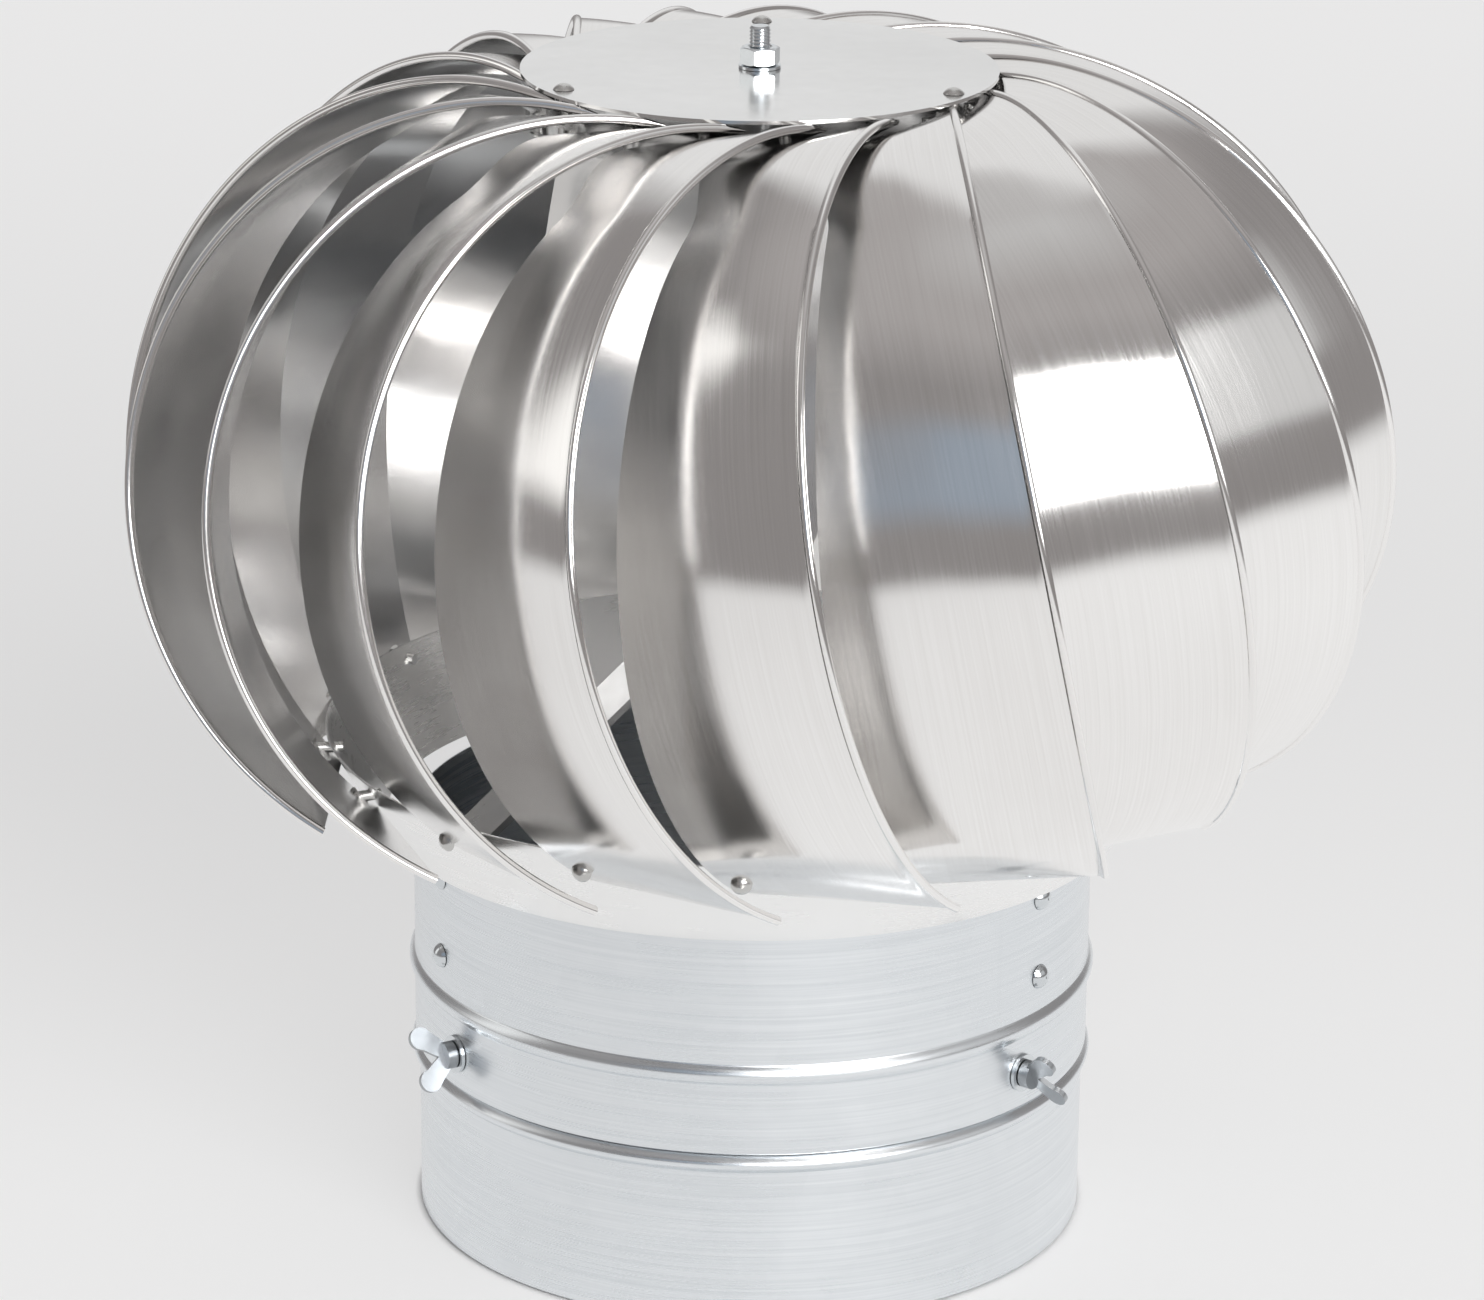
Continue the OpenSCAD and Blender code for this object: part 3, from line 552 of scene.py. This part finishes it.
def studioSky():
    s = studio
    sky = Nodes(bpy.data.worlds.new("studio"))
    bpy.context.scene.world = sky.owner
    sky.tree.nodes.clear()

    def step(value, low, high, edge):
        rise = sky.calc("DIVIDE", sky.calc("SUBTRACT", value, low - edge), 2 * edge, clamp=True)
        fall = sky.calc("DIVIDE", sky.calc("SUBTRACT", high + edge, value), 2 * edge, clamp=True)
        return sky.calc("MULTIPLY", rise, fall)

    coords = sky.add("ShaderNodeTexCoord")
    split = sky.add("ShaderNodeSeparateXYZ")
    sky.link(coords.outputs["Generated"], split.inputs["Vector"])
    degrees = 180 / math.pi
    rise = sky.calc("MULTIPLY", sky.calc("ARCSINE", split.outputs["Z"]), degrees)
    forward = sky.calc("MULTIPLY", split.outputs["Y"], -1)
    turn = sky.calc("MULTIPLY", sky.calc("ARCTAN2", split.outputs["X"], forward), degrees)
    overhead = step(rise, *s["ceilingRise"], s["ceilingSoft"])
    level = sky.calc("ADD", s["walls"], sky.calc("MULTIPLY", overhead, s["ceiling"] - s["walls"]))
    channels = [sky.calc("MULTIPLY", level, tint) for tint in s["wallTint"]]
    for panel in s["panels"]:
        mask = sky.calc("MULTIPLY", step(turn, *panel["turn"], panel["soft"][0]),
                        step(rise, *panel["rise"], panel["soft"][1]))
        for i in range(3):
            target = panel["strength"] * panel["colour"][i]
            lifted = sky.calc("MULTIPLY", mask, sky.calc("SUBTRACT", target, channels[i]))
            channels[i] = sky.calc("ADD", channels[i], lifted)
    combine = sky.add("ShaderNodeCombineColor")
    for i, channel in enumerate(channels):
        sky.link(channel, combine.inputs[i])
    room = sky.add("ShaderNodeBackground")
    sky.link(combine.outputs["Color"], room.inputs["Color"])
    # The camera sees a plain pale backdrop in place of the room.
    paper = sky.add("ShaderNodeBackground")
    paper.inputs["Color"].default_value = (*[s["backdrop"]] * 3, 1)
    path = sky.add("ShaderNodeLightPath")
    shown = sky.mixShader(path.outputs["Is Camera Ray"], room.outputs["Background"],
                          paper.outputs["Background"])
    sky.link(shown, sky.add("ShaderNodeOutputWorld").inputs["Surface"])


def studioFloor():
    s = studio
    m = Nodes(bpy.data.materials.new("floorPaper"))
    m.bsdf.inputs["Roughness"].default_value = s["floorRough"]
    m.bsdf.inputs["Specular IOR Level"].default_value = s["floorShine"]
    coords = m.add("ShaderNodeTexCoord")
    split = m.add("ShaderNodeSeparateXYZ")
    m.link(coords.outputs["Object"], split.inputs["Vector"])
    # The paper's colour is painted shade: darker across the middle of the floor than near and far.
    ramp = m.add("ShaderNodeValToRGB")
    ramp.color_ramp.interpolation = "EASE"
    ramp.color_ramp.elements[0].position = 0.0
    ramp.color_ramp.elements[0].color = (*s["near"], 1)
    ramp.color_ramp.elements[1].position = 1.0
    ramp.color_ramp.elements[1].color = (*s["far"], 1)
    ramp.color_ramp.elements.new(s["middleAt"]).color = (*s["middle"], 1)
    m.link(m.ramp(split.outputs["Y"], *s["shadeAlongY"], 0, 1), ramp.inputs["Fac"])
    m.link(ramp.outputs["Color"], m.bsdf.inputs["Base Color"])
    # The paper also glows a little towards the camera and in the metal, so its shadow stays soft. In the
    # metal this glow is painted light, stronger towards +X.
    glow = m.add("ShaderNodeEmission")
    m.link(ramp.outputs["Color"], glow.inputs["Color"])
    path = m.add("ShaderNodeLightPath")
    seen = m.calc("MULTIPLY", path.outputs["Is Camera Ray"], s["glow"])
    mirrored = m.ramp(split.outputs["X"], *s["mirrorX"], *s["mirrorGlow"])
    share = m.calc("MULTIPLY_ADD", path.outputs["Is Glossy Ray"], mirrored, seen)
    # Inside the sleeve the paper lies in the dark.
    reach = m.add("ShaderNodeVectorMath", operation="LENGTH")
    m.link(coords.outputs["Object"], reach.inputs[0])
    sleeveR = tube["sleeveR"] * mm
    outside = m.ramp(reach.outputs["Value"], sleeveR, sleeveR + s["sleeveEdge"], 0, 1)
    paper = m.mixShader(m.calc("MULTIPLY", share, outside), m.bsdf.outputs["BSDF"], glow.outputs["Emission"])
    # In the metal the paper ends at the table's edge, and the dark room follows.
    room = m.add("ShaderNodeEmission")
    room.inputs["Color"].default_value = (*[s["walls"] * tint for tint in s["wallTint"]], 1)
    beyond = m.calc("MULTIPLY", path.outputs["Is Glossy Ray"],
                    m.ramp(reach.outputs["Value"], *s["tableR"], 0, 1))
    ended = m.mixShader(beyond, paper, room.outputs["Emission"])
    m.link(ended, m.tree.nodes["Material Output"].inputs["Surface"])
    corners = ((-1, -1), (1, -1), (1, 1), (-1, 1))
    verts = [(x * s["size"], y * s["size"], s["floorZ"]) for x, y in corners]
    obj = meshObject("floor", verts, [(0, 1, 2, 3)], material=m.owner)


studioSky()
studioFloor()

# Camera, fitted to the photograph. The sensor's width is in millimetres.
view = {
    "focalPixels": 5611, "pictureWidth": 1484, "sensor": 36, "clip": (0.05, 50), "back": 1.550,
    "height": 0.6815, "pitch": 18.31, "yaw": 0.132, "roll": 0.497}


def studioCamera():
    data = bpy.data.cameras.new("camera")
    data.sensor_width = view["sensor"]
    data.lens = view["focalPixels"] / view["pictureWidth"] * view["sensor"]
    data.clip_start, data.clip_end = view["clip"]
    pitch, yaw, roll = (math.radians(view[k]) for k in ("pitch", "yaw", "roll"))
    turnYaw = Matrix.Rotation(yaw, 3, "Z")
    forward = turnYaw @ Vector((0, math.cos(pitch), -math.sin(pitch)))
    up = turnYaw @ Vector((0, math.sin(pitch), math.cos(pitch)))
    right = turnYaw @ Vector((1, 0, 0))
    right, up = (math.cos(roll) * right + math.sin(roll) * up, -math.sin(roll) * right + math.cos(roll) * up)
    obj = bpy.data.objects.new("camera", data)
    bpy.context.scene.collection.objects.link(obj)
    turn = Matrix((right, up, -forward)).transposed().to_4x4()
    obj.matrix_world = Matrix.Translation((0, -view["back"], view["height"])) @ turn
    bpy.context.scene.camera = obj


studioCamera()
bpy.context.scene.view_settings.view_transform = "Standard"
print("scene ready")
